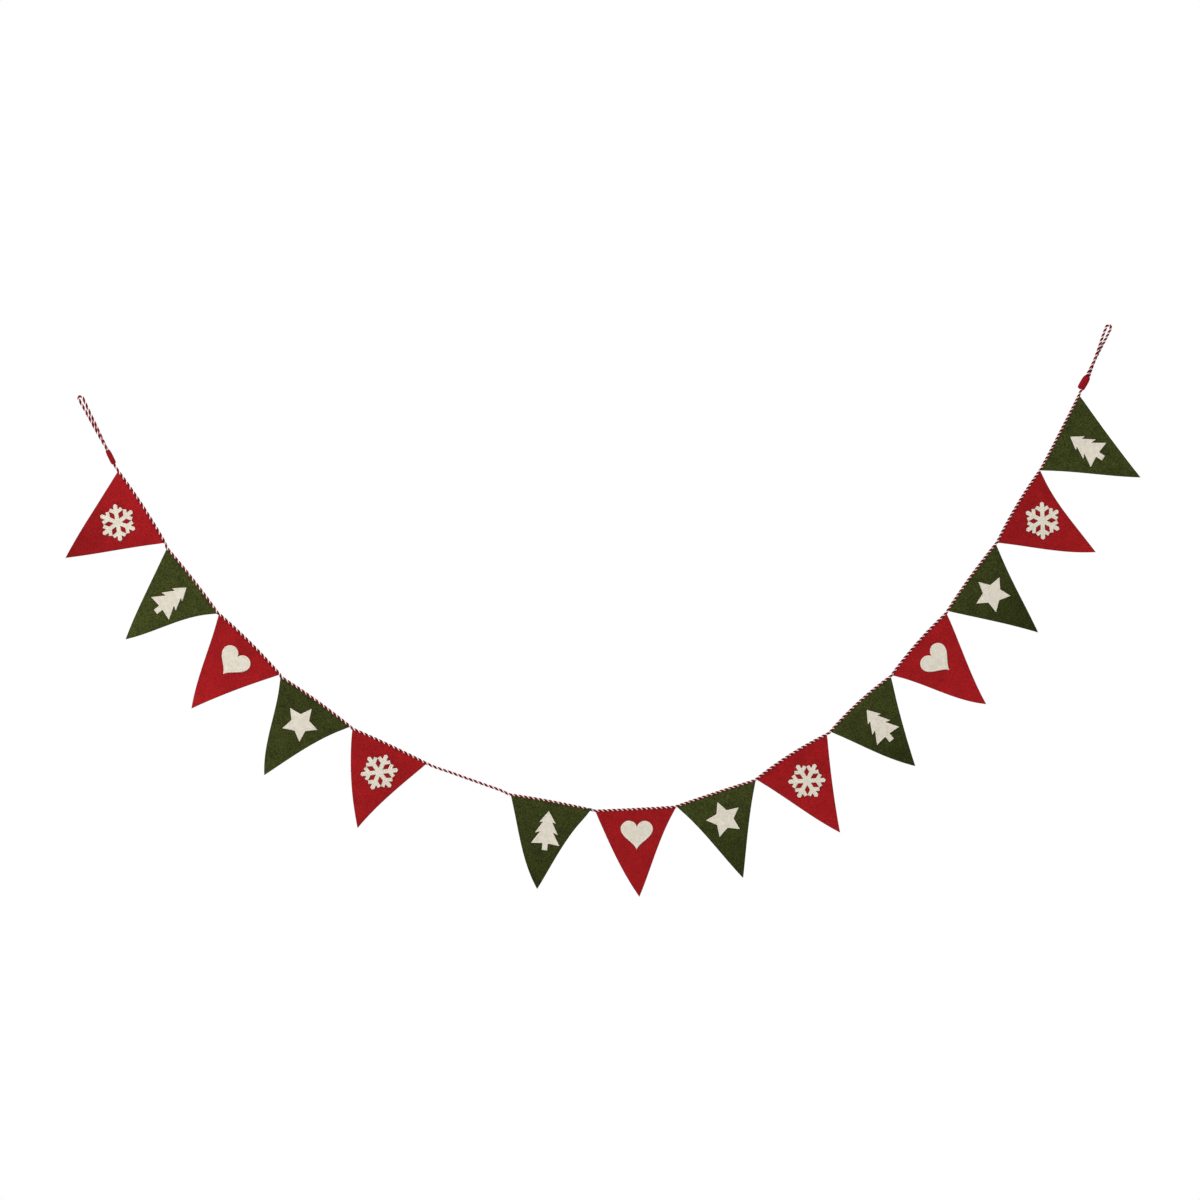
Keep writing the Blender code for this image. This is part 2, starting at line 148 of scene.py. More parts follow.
# Height above the tree's middle and half width, down the right side
TREE_SIDE = ((28.0, 0.0), (12.0, 11.0), (13.5, 6.0), (-3.0, 15.5), (-0.5, 8.5),
             (-18.0, 19.5), (-16.5, 3.6), (-26.0, 3.6))
SNOW_ARMS, SNOW_RADIUS, SNOW_HALF_ARM, SNOW_TIP = 6, 24.0, 2.7, 1.8
SNOW_BARB_START, SNOW_BARB_LENGTH, SNOW_BARB_WIDTH, SNOW_BARB_ANGLE = 12.5, 8.0, 4.6, 58.0


# Meshes


def add_object(name, data):
    made = bpy.data.objects.new(name, data)
    bpy.context.collection.objects.link(made)
    return made


class Shape:
    """A mesh while it is put together: points in millimetres, faces, and values at the points."""

    def __init__(self):
        self.points, self.faces, self.slots = [], [], []
        self.values = {}

    def add_points(self, points, **values):
        """Adds rows of points with their named values, and gives the first one's number."""
        first = sum(len(rows) for rows in self.points)
        self.points.append(np.asarray(points, dtype=float))
        for name, rows in values.items():
            self.values.setdefault(name, []).append(np.asarray(rows, dtype=float))
        return first

    def add_faces(self, faces, slot=0):
        self.faces += faces
        self.slots += [slot] * len(faces)

    def make(self, name, slot, *materials):
        """The object of this mesh, which rides on the root. Its slot is not used."""
        mesh = bpy.data.meshes.new(name)
        mesh.from_pydata((np.concatenate(self.points) * MM).tolist(), [], self.faces)
        mesh.polygons.foreach_set("material_index", self.slots)
        for label, rows in self.values.items():
            value = np.concatenate(rows)
            kind, field = ("FLOAT", "value") if value.ndim == 1 else ("FLOAT_VECTOR", "vector")
            mesh.attributes.new(label, kind, "POINT").data.foreach_set(field, value.ravel())
        for material in materials:
            mesh.materials.append(material)
        mesh.shade_smooth()
        made = add_object(name, mesh)
        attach(made, "root")
        return made


def unit(rows):
    return rows / np.linalg.norm(rows, axis=-1, keepdims=True)


def square_to(way, rows):
    """The unit vectors nearest to the rows that are square to the way at each of them."""
    return unit(rows - way * (rows * way).sum(axis=-1, keepdims=True))


def travel_along(points):
    """The length along a line of points, at each of them."""
    return np.concatenate(([0.0], np.cumsum(np.linalg.norm(np.diff(points, axis=0), axis=1))))


def add_tube(shape, centres, wide, deep, sides, slot=0):
    """A closed tube round a line. wide and deep reach from each centre to the oval round it."""
    angles = math.tau * np.arange(sides) / sides
    cosine, sine = np.cos(angles), np.sin(angles)
    rings = centres[:, None] + wide[:, None] * cosine[:, None] + deep[:, None] * sine[:, None]
    count = len(centres)
    yarn = np.empty((count, sides, 3))
    yarn[..., 0], yarn[..., 1] = cosine, sine
    yarn[..., 2] = travel_along(centres)[:, None]
    first = shape.add_points(rings.reshape(-1, 3), yarn=yarn.reshape(-1, 3))
    last = first + (count - 1) * sides
    faces = []
    for here in range(first, last, sides):
        for i in range(sides):
            j = (i + 1) % sides
            faces.append((here + i, here + j, here + sides + j, here + sides + i))
    faces += [tuple(range(first + sides - 1, first - 1, -1)), tuple(range(last, last + sides))]
    shape.add_faces(faces, slot)


# The camera, at the height of the picture's middle and square to the garland

CAMERA_MIDDLE = (717.3, -279.7)
CAMERA_DISTANCE = 5000.0
PICTURE_WIDTH = 1656.0
SENSOR_WIDTH = 36.0


def place_camera():
    camera = bpy.data.cameras.new("camera")
    camera.sensor_width = SENSOR_WIDTH
    camera.lens = SENSOR_WIDTH * CAMERA_DISTANCE / PICTURE_WIDTH
    camera.clip_end = 50.0
    holder = add_object("camera", camera)
    holder.location = Vector((CAMERA_MIDDLE[0], -CAMERA_DISTANCE, CAMERA_MIDDLE[1])) * MM
    holder.rotation_euler = (math.radians(90.0), 0.0, 0.0)
    bpy.context.scene.camera = holder


# The cord

CORD_SIDES = 8
STEPS_PER_TURN = 12
WHITE_YARN, RED_YARN = 0, 1
# Each ply's yarn, turn past the white one, distance from the axis, half height and half width
PLIES = (
    (WHITE_YARN, 0.0, 0.86, 0.72, 0.92),
    (RED_YARN, 0.355, 1.02, 0.9, 1.08),
    (RED_YARN, 0.645, 1.02, 0.9, 1.08),
)
FIRST_TURN = 0.36  # that the white ply is past the front at the left tail's end


def upright(*places):
    """Places in the picture plane as 3-D vectors."""
    return [Vector((x, 0.0, z)) for x, z in places]


def sideways(direction, turn):
    """The unit vector across a direction, turned out of the picture plane."""
    across = Vector((direction.z, 0.0, -direction.x)).normalized()
    angle = math.radians(turn)
    return across * math.cos(angle) + Vector((0.0, math.sin(angle), 0.0))


def loop_strand(loop, side):
    """The points of one strand, from the binding's foot up to the eye. side is 1 or -1."""
    hook, head, foot = upright(loop.hook, loop.head, loop.foot)
    bound = (head - foot).normalized()
    free = (hook - head).normalized()
    points = [
        end + sideways(bound, loop.binding_turn) * side * STRAND_HALF_SPACING
        for end in (foot, head)
    ]
    arc_height = (hook - head).length + CORD_DIAMETER / 2 - loop.eye_half_width
    rows = [*loop.strands]
    for degrees in (0.0, 45.0):
        height, half = math.sin(math.radians(degrees)), math.cos(math.radians(degrees))
        rows.append((arc_height + loop.eye_half_width * height, loop.eye_half_width * half, 0.0))
    for height, half, turn in rows:
        points.append(head + free * height + sideways(free, turn) * side * half)
    return points


def loop_route(loop):
    """A loop's points from the tail's end, over the hook, to where the cord leaves the binding."""
    hook, head, foot = upright(loop.hook, loop.head, loop.foot)
    tail = loop_strand(loop, -loop.running_side)
    tail[0] += (head - foot).normalized() * TAIL_START
    apex = hook + (hook - head).normalized() * CORD_DIAMETER / 2
    return [*tail, apex, *reversed(loop_strand(loop, loop.running_side))]


def cord_route():
    """The cord's own points, the ways of those where it is held, and marks of its twist.

    A mark is the number of a point and the plies' turns from the mark before.
    """
    points, held = loop_route(LEFT_LOOP), {}
    running, tail = LEFT_LOOP.cord_turns
    marks = [(0, FIRST_TURN), (len(points) // 2, tail), (len(points), running)]
    for number, pennant in enumerate(PENNANTS, 1):
        left, right = upright(pennant.left, pennant.right)
        edge = right - left
        climb = sideways(edge, 0.0) * -4.0 * pennant.top_bow
        for point, way in ((left, edge + climb), (right, edge - climb)):
            held[len(points)] = way.normalized()
            points.append(point)
        if number == LONG_SPACE_AFTER:
            points += upright(*LONG_SPACE)
        marks.append((len(points), pennant.cord_turns))
    last_loop = loop_route(RIGHT_LOOP)
    running, tail = RIGHT_LOOP.cord_turns
    marks.append((len(points) + len(last_loop) // 2, running))
    points += reversed(last_loop)
    marks.append((len(points) - 1, tail))
    return points, held, marks


def cord_axis():
    """The axis as rows of points, and the plies' turns up to each of them."""
    route, held, marks = cord_route()
    last = len(route) - 1
    ways = [
        held.get(i) or (route[min(i + 1, last)] - route[max(i - 1, 0)]).normalized()
        for i in range(last + 1)
    ]
    line, places = [route[0]], [0]
    for start, end, way_out, way_in in zip(route, route[1:], ways, ways[1:]):
        reach = (end - start).length / 3
        pieces = math.ceil((end - start).length / CORD_SPACING)
        handles = start + way_out * reach, end - way_in * reach
        line += interpolate_bezier(start, *handles, end, pieces + 1)[1:]
        places.append(len(line) - 1)
    line = np.array(line)
    travel = travel_along(line)
    numbers, turns = zip(*marks)
    marked = travel[[places[number] for number in numbers]]
    return line, np.interp(travel, marked, np.cumsum(turns))


def resample(line, values, wanted):
    """The line's points where its rising values reach the wanted ones."""
    return np.stack([np.interp(wanted, values, line[:, axis]) for axis in range(3)], axis=1)


def build_cord(white_yarn, red_yarn):
    """The plies wound round each other. The white one faces forward at each whole turn."""
    axis, turns = cord_axis()
    steps = math.ceil((turns[-1] - turns[0]) * STEPS_PER_TURN)
    wanted = np.linspace(turns[0], turns[-1], steps + 1)
    line = resample(axis, turns, wanted)
    way = unit(np.gradient(line, axis=0))
    front = square_to(way, np.array((0.0, -1.0, 0.0)))
    side = np.cross(front, way)
    shape = Shape()
    for slot, past_white, offset, half_height, half_width in PLIES:
        angle = math.tau * (wanted + past_white)[:, None]
        out = front * np.cos(angle) - side * np.sin(angle)
        round_way = -front * np.sin(angle) - side * np.cos(angle)
        add_tube(
            shape, line + out * offset, out * half_height, round_way * half_width,
            CORD_SIDES, slot,
        )
    cord = shape.make("cord_three_ply", "cord_yarn", white_yarn, red_yarn)
    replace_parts(cord, "cord")
    return axis, turns


# The bindings

BINDING_HALF_WIDTH = 5.4
BINDING_HALF_DEPTH = 3.7
BINDING_EXPONENT = 2.3
# Share of the way up the binding, and share of its full width there
BINDING_PROFILE = ((0.0, 0.76), (0.06, 0.92), (0.2, 1.0), (0.7, 1.0), (0.92, 0.88), (1.0, 0.72))
BINDING_THREAD_RADIUS = 0.33
BINDING_THREAD_PITCH = 0.56
BINDING_STEPS_PER_TURN = 28
BINDING_SIDES = 6


def build_binding(name, loop, thread):
    """Close turns of thread round both strands of a loop."""
    head, foot = upright(loop.head, loop.foot)
    length = (head - foot).length
    up = (head - foot).normalized()
    wide = sideways(up, loop.binding_turn)
    deep = up.cross(wide)
    radius = BINDING_THREAD_RADIUS
    turns = round((length - 2 * radius) / BINDING_THREAD_PITCH)
    share = np.linspace(0.0, 1.0, turns * BINDING_STEPS_PER_TURN + 1)
    angle = math.tau * turns * share
    swell = np.interp(share, *zip(*BINDING_PROFILE))

    def reach(wave, half):
        rounded = np.copysign(np.abs(wave) ** (2 / BINDING_EXPONENT), wave)
        return rounded * (half * swell - radius)

    x, y = reach(np.cos(angle), BINDING_HALF_WIDTH), reach(np.sin(angle), BINDING_HALF_DEPTH)
    height = radius + (length - 2 * radius) * share
    from_axis = np.outer(x, wide) + np.outer(y, deep)
    centres = np.array(foot) + from_axis + np.outer(height, up)
    way = unit(np.gradient(centres, axis=0))
    out = square_to(way, from_axis)
    shape = Shape()
    add_tube(shape, centres, out * radius, np.cross(way, out) * radius, BINDING_SIDES)
    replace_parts(shape.make(f"{name}_wound", "red_thread", thread), name)


# Cut felt


def smooth_step(share):
    share = np.clip(share, 0.0, 1.0)
    return share * share * (3.0 - 2.0 * share)


def edge_distance(points, outline):
    """How far each point lies inside the outline, negative outside it."""
    start = np.array(outline)
    side = np.roll(start, -1, axis=0) - start
    apart = points[:, None] - start
    share = np.clip((apart * side).sum(axis=2) / (side * side).sum(axis=1), 0.0, 1.0)
    nearest = np.linalg.norm(apart - side * share[..., None], axis=2).min(axis=1)
    above = apart[..., 1] < 0
    crossed = above != np.roll(above, -1, axis=1)
    with np.errstate(divide="ignore", invalid="ignore"):
        meets = apart[..., 0] < side[:, 0] * apart[..., 1] / side[:, 1]
    inside = (crossed & meets).sum(axis=1) % 2 == 1
    return np.where(inside, nearest, -nearest)


def corners_of(outline):
    """Each corner and the next one, and the ways of the sides that meet at it."""
    for before, corner, after in zip(outline[-1:] + outline[:-1], outline, outline[1:] + outline[:1]):
        yield corner, after, (corner - before).normalized(), (after - corner).normalized()


def inset(outline, distance):
    """The outline moved inwards, its corners kept sharp."""
    moved = []
    for corner, _, arriving, leaving in corners_of(outline):
        inward = Vector((-arriving.y - leaving.y, arriving.x + leaving.x))
        moved.append(corner + inward * distance / (1.0 + arriving.dot(leaving)))
    return moved


def split_edges(corners, spacing):
    """The closed outline again, with its long straight sides cut to at most spacing."""
    outline = []
    for start, end in zip(corners, corners[1:] + corners[:1]):
        pieces = max(1, math.ceil((end - start).length / spacing))
        outline += [start.lerp(end, step / pieces) for step in range(pieces)]
    return outline


def inner_points(outline, spacing, margin):
    """Evenly staggered points inside an outline, none within the margin of it."""
    low, high = np.min(outline, axis=0), np.max(outline, axis=0)
    rows = np.arange(low[1], high[1], spacing * math.sqrt(0.75))
    columns = np.arange(low[0], high[0] + spacing, spacing)
    grid = np.stack(np.meshgrid(columns, rows), axis=2)
    grid[1::2, :, 0] += spacing / 2
    grid = grid.reshape(-1, 2)
    return grid[edge_distance(grid, outline) > margin]


def side_edge(start, end, bow, outward, pieces):
    """One side of a pennant from corner to corner, bowed by its two handles."""
    handles = [start.lerp(end, share) + outward * push for share, push in zip((1 / 3, 2 / 3), bow)]
    return [point.to_2d() for point in interpolate_bezier(start, *handles, end, pieces + 1)]


def pennant_width(pennant):
    return (Vector(pennant.right) - Vector(pennant.left)).length


def pennant_outline(pennant, spacing):
    """The pennant's cut, as (along, up) points from its top edge, anticlockwise."""
    half = pennant_width(pennant) / 2
    left, right = Vector((-half, 0.0)), Vector((half, 0.0))
    tip = Vector((pennant.lean, -pennant.height))
    pieces = math.ceil(pennant.height / spacing)
    left_out = (tip - left).orthogonal().normalized() * -1
    right_out = (tip - right).orthogonal().normalized()
    down = side_edge(left, tip, pennant.left_bow, left_out, pieces)
    back = side_edge(right, tip, pennant.right_bow, right_out, pieces)
    handles = (pennant.top_bow * 4 / 3,) * 2
    over = side_edge(right, left, handles, Vector((0.0, 1.0)), math.ceil(2 * half / spacing))
    return [*down, *reversed(back[:-1]), *over[1:-1]]


def star_outline():
    outline = []
    for step in range(2 * STAR_POINTS):
        angle = math.radians(90.0) + math.pi * step / STAR_POINTS
        radius = STAR_INNER if step % 2 else STAR_OUTER
        outline.append(Vector((math.cos(angle), math.sin(angle))) * radius)
    return outline


def heart_outline():
    """The heart curve, anticlockwise from its cleft, without its pinched tip."""
    outline = []
    for step in range(HEART_STEPS):
        if abs(step - HEART_STEPS // 2) in (1, 2):
            continue
        angle = -math.tau * step / HEART_STEPS
        x = 16.0 * math.sin(angle) ** 3
        y = 13.0 * math.cos(angle) - 5.0 * math.cos(2 * angle)
        y -= 2.0 * math.cos(3 * angle) + math.cos(4 * angle)
        outline.append(Vector((x, max(y, HEART_LOWEST) + HEART_LIFT)) * HEART_WIDTH / 32.0)
    return outline


def tree_outline():
    left = [Vector((-half, height)) for height, half in TREE_SIDE]
    right = [Vector((half, height)) for height, half in reversed(TREE_SIDE[1:])]
    return left + right


def snowflake_outline():
    """Six arms with a pair of barbs each, anticlockwise."""
    lean = math.radians(SNOW_BARB_ANGLE)
    out = Vector((math.sin(lean), math.cos(lean)))
    wide = Vector((-out.y, out.x))
    root = Vector((SNOW_HALF_ARM, SNOW_BARB_START))
    arm = [
        Vector((SNOW_HALF_ARM, SNOW_HALF_ARM / math.tan(math.pi / SNOW_ARMS))),
        root,
        root + out * SNOW_BARB_LENGTH,
        root + out * SNOW_BARB_LENGTH + wide * SNOW_BARB_WIDTH,
        Vector((SNOW_HALF_ARM, SNOW_BARB_START + SNOW_BARB_WIDTH / math.sin(lean))),
        Vector((SNOW_HALF_ARM, SNOW_RADIUS)),
        Vector((0.0, SNOW_RADIUS + SNOW_TIP)),
    ]
    arm += [Vector((-point.x, point.y)) for point in reversed(arm[1:-1])]
    outline = []
    for number in range(SNOW_ARMS):
        turn = Matrix.Rotation(math.tau * number / SNOW_ARMS, 2)
        outline += [turn @ point for point in arm]
    return outline


MOTIFS = {"star": star_outline, "heart": heart_outline, "tree": tree_outline,
          "snowflake": snowflake_outline}


def motif_cut(pennant):
    """The motif's outline at its place on the pennant, as (along, up) points."""
    middle = Vector((pennant.lean * pennant.drop / pennant.height, -pennant.drop))
    axis_turn = math.atan2(pennant.lean, pennant.height)
    turn = Matrix.Rotation(math.radians(pennant.turn) + axis_turn, 2)
    return [middle + turn @ point for point in MOTIFS[pennant.motif]()]


# How the felt hangs

# Length along and down, and height, of the felt's waves: two folds' sizes and a soft ripple
WAVES = ((36.0, 95.0, 1.8), (26.0, 26.0, 0.55), (11.0, 11.0, 0.16))
WAVES_APART = 7.3  # so that no two pennants have the same waves
STRETCHED_DEPTH = 16.0  # of the felt that the cord holds flat
CUP_DEPTH = 0.6  # share of the height that the cup and the twist take to grow
SLOPE_STEP = 0.5
EDGE_BITE, BITE_DEPTH = 0.5, 8.0  # of the top edge, pulled up against the cord by its stitches
# How far in and down from the top right corner the felt turns forward, and how far it is lifted
CORNER_WIDTH, CORNER_EASE, CORNER_DEPTH = 28.0, 17.0, 34.0
CORNER_LIFT_WIDTH, CORNER_LIFT_DEPTH = 11.0, 22.0


def waves(number, along, up):
    """The felt's soft waves, none at the cord."""
    height = np.array([
        sum(
            wave_height * noise.noise(Vector((x / wide, z / long, WAVES_APART * number)))
            for wide, long, wave_height in WAVES
        )
        for x, z in zip(along, up)
    ])
    return height * smooth_step(-up / STRETCHED_DEPTH)


def forward(number, along, up):
    """How far the felt comes forward at places along and above the top edge."""
    pennant = PENNANTS[number - 1]
    half = pennant_width(pennant) / 2
    across, down = along / half, -up / pennant.height
    corner = smooth_step((along - half + CORNER_WIDTH) / CORNER_EASE)
    return (
        (pennant.cup * across * across + pennant.twist * across) * smooth_step(down / CUP_DEPTH)
        + pennant.tip_out * down * down
        + pennant.corner_over * corner * smooth_step(1.0 + up / CORNER_DEPTH)
        + waves(number, along, up)
    )


def rise(number, along, up):
    """How far the felt is raised: its edge into the cord's valleys, a corner over the cord."""
    pennant = PENNANTS[number - 1]
    share = np.maximum(0.0, 1.0 + (along - pennant_width(pennant) / 2) / CORNER_LIFT_WIDTH)
    corner = pennant.corner_over * share * smooth_step(1.0 + up / CORNER_LIFT_DEPTH)
    return corner + EDGE_BITE * smooth_step(1.0 + up / BITE_DEPTH)


def hung(number, flat, layer):
    """World places of flat (along, up) places that stand a layer in front of the felt's middle."""
    along, up = flat[:, 0], flat[:, 1]
    out = forward(number, along, up)
    slope_along = (forward(number, along + SLOPE_STEP, up) - out) / SLOPE_STEP
    slope_up = (forward(number, along, up + SLOPE_STEP) - out) / SLOPE_STEP
    reach = layer / np.sqrt(1.0 + slope_along**2 + slope_up**2)
    pennant = PENNANTS[number - 1]
    top = -(CORD_DIAMETER / 2 + SEAM_GAP)
    x = along - slope_along * reach
    z = top + up + rise(number, along, up) - slope_up * reach
    left, right = np.array(pennant.left), np.array(pennant.right)
    middle, edge = (left + right) / 2, unit(right - left)
    return np.stack([
        middle[0] + x * edge[0] - z * edge[1],
        -(out + reach),
        middle[1] + x * edge[1] + z * edge[0],
    ], axis=1)


EDGE_ROUND = 0.55
EDGE_BULGE = 0.25  # share of the flat part of the cut edge's thickness
EDGE_ROWS = (0.14, 0.4, 1.2)
# distance from a motif given to felt away from one, past its painted contact shadow
SHADOW_FREE_DISTANCE = 6.0
PLACE_STEP = 400.0  # keeps the wool's pattern from repeating between pennants
LEAST_GAP = 0.4  # share of the spacing, between free points and the sewn rows


def rounded(distance, half_thickness):
    """The half thickness at a distance from the cut edge, which is a little rounded."""
    short = EDGE_ROUND - np.minimum(distance, EDGE_ROUND)
    return half_thickness - EDGE_ROUND + np.sqrt(EDGE_ROUND**2 - short**2)


def cut_mesh(outline, spacing, rows, extra):
    """The flat cut's points and triangles, and the numbers of its outline's points."""
    points = split_edges(outline, spacing)
    count = len(points)
    sides = [(i, (i + 1) % count) for i in range(count)]
    for row in rows:
        points += split_edges(inset(outline, row), spacing)
    points += extra
    margin = rows[-1] + spacing / 2
    free = inner_points(outline, spacing, margin)
    if extra:
        gap = np.linalg.norm(free[:, None] - np.array(extra), axis=2).min(axis=1)
        free = free[gap > spacing * LEAST_GAP]
    points += [Vector(point) for point in free]
    flat, _, triangles, origins, *_ = delaunay_2d_cdt(points, sides, [], 1, 1e-4)
    number_of = {i: now for now, before in enumerate(origins) for i in before}
    return np.array(flat), [list(t) for t in triangles], [number_of[i] for i in range(count)]


def felt_shape(number, outline, spacing, rows, layers, extra=(), sewn_on=None):
    """A cut of felt between its front and back layers, which depend on the place.

    sewn_on is the outline of what is sewn on its front, round which the felt gets a painted contact
    shadow.
    """
    flat, triangles, rim = cut_mesh(outline, spacing, rows, list(extra))
    distance = np.abs(edge_distance(flat, outline))
    front, back = layers(flat, distance)
    bulge = EDGE_BULGE * (front[rim] - back[rim]).mean()
    edge = np.array(inset([Vector(p) for p in flat[rim]], -bulge))
    middle = (front[rim] + back[rim]) / 2
    free = np.full(len(flat), SHADOW_FREE_DISTANCE)
    # distance outside the sewn-on motif, which sets the painted contact shadow on the front
    contact_shadow_distance = np.minimum(free, -edge_distance(flat, sewn_on)) if sewn_on else free
    pennant = PENNANTS[number - 1]
    shape = Shape()
    for places, layer, inside, apart in (
        (flat, front, distance, contact_shadow_distance), (flat, back, distance, free),
        (edge, middle, np.zeros(len(rim)), free[:len(rim)]),
    ):
        shape.add_points(
            # apart carries the distance for the painted contact shadow round a motif
            hung(number, places, layer), rim=inside, apart=apart,
            place=np.column_stack([places + PLACE_STEP * number, layer]),
            # painted light and shade of each pennant, from its top to its tip
            tone=np.interp(-places[:, 1] / pennant.height, (0.0, 1.0), pennant.tone),
        )
    count = len(flat)
    shape.add_faces([tuple(t) for t in triangles])
    shape.add_faces([tuple(count + i for i in reversed(t)) for t in triangles])
    for i, here in enumerate(rim):
        j = (i + 1) % len(rim)
        there, middle_here, middle_there = rim[j], 2 * count + i, 2 * count + j
        shape.add_faces([
            (here, middle_here, middle_there, there),
            (middle_here, count + here, count + there, middle_there),
        ])
    return shape


# Sewing

MOTIF_ROWS = (0.14, 0.4, 0.9, 1.4, 1.8, 2.3)
RIM_WIDTH = 1.6  # of the stitched rim along a motif's edge
RIM_EASE = 0.5  # width over which the front comes up again past the rim
RIM_THREAD_PITCH = 0.86
RIM_THREAD_HALF_WIDTH = 0.44
RIM_THREAD_HALF_HEIGHT = 0.16
RIM_SIDES = 6
FILL_SINK = 0.14  # of the motif's stitched middle, below its rim
# Distance in from the edge, and the thread's height over the motif's front there
RIM_STITCH = ((-0.24, -1.32), (-0.06, -0.75), (0.34, -0.17), (1.15, -0.15), (1.7, -0.42))
BACK_STITCH = ((0.1, 0.02), (0.75, 0.16), (1.4, 0.02))
# Where the pennant's mesh has more points: distances in from the motif's edge
SEWN_ROWS = (1.6, 0.7, -0.2, -1.1, -2.2)
DENT_DEPTH = 0.16
THREAD_RADIUS = 0.23
THREAD_SIDES = 6
STITCH_RINGS = 6
STITCH_LIFT, STITCH_SINK = 0.14, 0.2  # of its middle over the felt, of its ends into it
SEAM_STITCH_LEAN = 0.75
SEAM_FOOT, SEAM_HEAD = -2.6, 0.75
SEAM_HEAD_OUT = 1.25  # share of the felt's half thickness
SEAM_END = 2.0  # from the last stitch to the corner, at least
SHORTER_REACHES = (0.8, 0.6, 0.4, 0.25)  # of a rim stitch in a narrow place
REACH_KEPT = 0.93  # share of its depth that a rim stitch must have from every edge


def motif_layers(_, distance):
    """Front and back of a motif, whose front lies deeper below its rim's stitches."""
    half = MOTIF_THICKNESS / 2
    middle = FELT_THICKNESS / 2 + SEAM_GAP + half
    thick = rounded(distance, half)
    under_rim = 1.0 - smooth_step((distance - RIM_WIDTH) / RIM_EASE)
    sink = FILL_SINK + (2 * RIM_THREAD_HALF_HEIGHT - FILL_SINK) * under_rim
    return middle + thick - sink, middle - thick


def pennant_layers(cut):
    """Front and back of a pennant, whose back is a little drawn in behind the motif's rim."""
    def layers(flat, distance):
        half = rounded(distance, FELT_THICKNESS / 2)
        off_rim = (edge_distance(flat, cut) - RIM_WIDTH / 2) / RIM_WIDTH
        return half, DENT_DEPTH * np.exp(-2.0 * off_rim**2) - half
    return layers


def edge_places(outline, pitch, reach):
    """Evenly spaced places on an outline, and the ways inwards, fanned out round inner corners."""
    places, inwards = [], []
    for start, end, arriving, leaving in corners_of(outline):
        turn = math.atan2(arriving.cross(leaving), arriving.dot(leaving))
        fan = max(0, math.floor(-turn * reach / pitch))
        for step in range(fan):
            inwards.append(Matrix.Rotation(turn * (step + 0.5) / fan, 2) @ arriving.orthogonal())
            places.append(start)
        pieces = max(1, round((end - start).length / pitch))
        for step in range(pieces):
            inwards.append(leaving.orthogonal())
            places.append(start.lerp(end, (step + 0.5) / pieces))
    return np.array(places), np.array(inwards)


def reach_inwards(outline, places, inwards, reach):
    """The share of the reach that stays nearest to its own place on the outline."""
    share = np.ones(len(places))
    for part in SHORTER_REACHES:
        tested = edge_distance(places + inwards * (reach * share)[:, None], outline)
        share = np.where(tested < REACH_KEPT * reach * share, part, share)
    return share[:, None]


def rim_stitches(number, cut):
    """Satin stitches over the motif's edge, and their short ends behind the pennant."""
    places, inwards = edge_places(cut, RIM_THREAD_PITCH, RIM_WIDTH)
    share = reach_inwards(cut, places, inwards, RIM_WIDTH)
    around = inwards[:, ::-1] * (1.0, -1.0)
    motif_front = FELT_THICKNESS / 2 + SEAM_GAP + MOTIF_THICKNESS
    shape = Shape()
    for profile, level, way in (
        (RIM_STITCH, motif_front, 1.0), (BACK_STITCH, DENT_DEPTH - FELT_THICKNESS / 2, -1.0),
    ):
        lines, above, beside = [], [], []
        for depth, height in profile:
            flat = places + inwards * depth * (share if depth > 0.0 else 1.0)
            layers = np.full(len(flat), level + way * height)
            line = hung(number, flat, layers)
            lines.append(line)
            above.append(hung(number, flat, layers + way) - line)
            beside.append(hung(number, flat + around, layers) - line)
        for centres, out, wide in zip(*(np.stack(rows, axis=1) for rows in (lines, above, beside))):
            along = unit(np.gradient(centres, axis=0))
            add_tube(shape, centres, unit(wide) * RIM_THREAD_HALF_WIDTH,
                     square_to(along, out) * RIM_THREAD_HALF_HEIGHT, RIM_SIDES)
    return shape


def add_stitch(shape, start, end, out):
    """One stitch that rises from the felt, lies on it and sinks in again, thinner at its ends."""
    share = np.linspace(0.0, 1.0, STITCH_RINGS)[:, None]
    arch = np.sin(math.pi * share) ** 0.6
    centres = start + (end - start) * share + out * (STITCH_LIFT * arch - STITCH_SINK * (1.0 - arch))
    way = unit(np.gradient(centres, axis=0))
    away = square_to(way, out)
    thick = THREAD_RADIUS * (0.7 + 0.3 * arch)
    add_tube(shape, centres, away * thick, np.cross(way, away) * thick, THREAD_SIDES)


def seam_stitches(number, cord_line, cord_turns):
    """The stitches that hold a pennant's top edge in the cord's valleys, front and back."""
    pennant = PENNANTS[number - 1]
    left, right = np.array(pennant.left), np.array(pennant.right)
    half = pennant_width(pennant) / 2
    edge = unit(right - left)
    shape = Shape()
    for way, turn in ((1.0, 0.5), (-1.0, 1.0)):
        valleys = resample(cord_line, cord_turns, np.arange(turn, cord_turns[-1]))[:, ::2]
        from_middle = valleys - (left + right) / 2
        along, up = from_middle @ edge, from_middle @ (-edge[1], edge[0])
        held = (np.abs(along) < half - SEAM_END) & (np.abs(up) < CORD_DIAMETER * 1.5)
        for x, z in zip(along[held], up[held]):
            lean = SEAM_STITCH_LEAN * way
            ends = np.array([[x - lean, z + SEAM_FOOT], [x + lean, z + SEAM_HEAD]])
            layers = way * FELT_THICKNESS / 2 * np.array([1.0, SEAM_HEAD_OUT])
            add_stitch(shape, *hung(number, ends, layers), np.array((0.0, -way, 0.0)))
    return shape


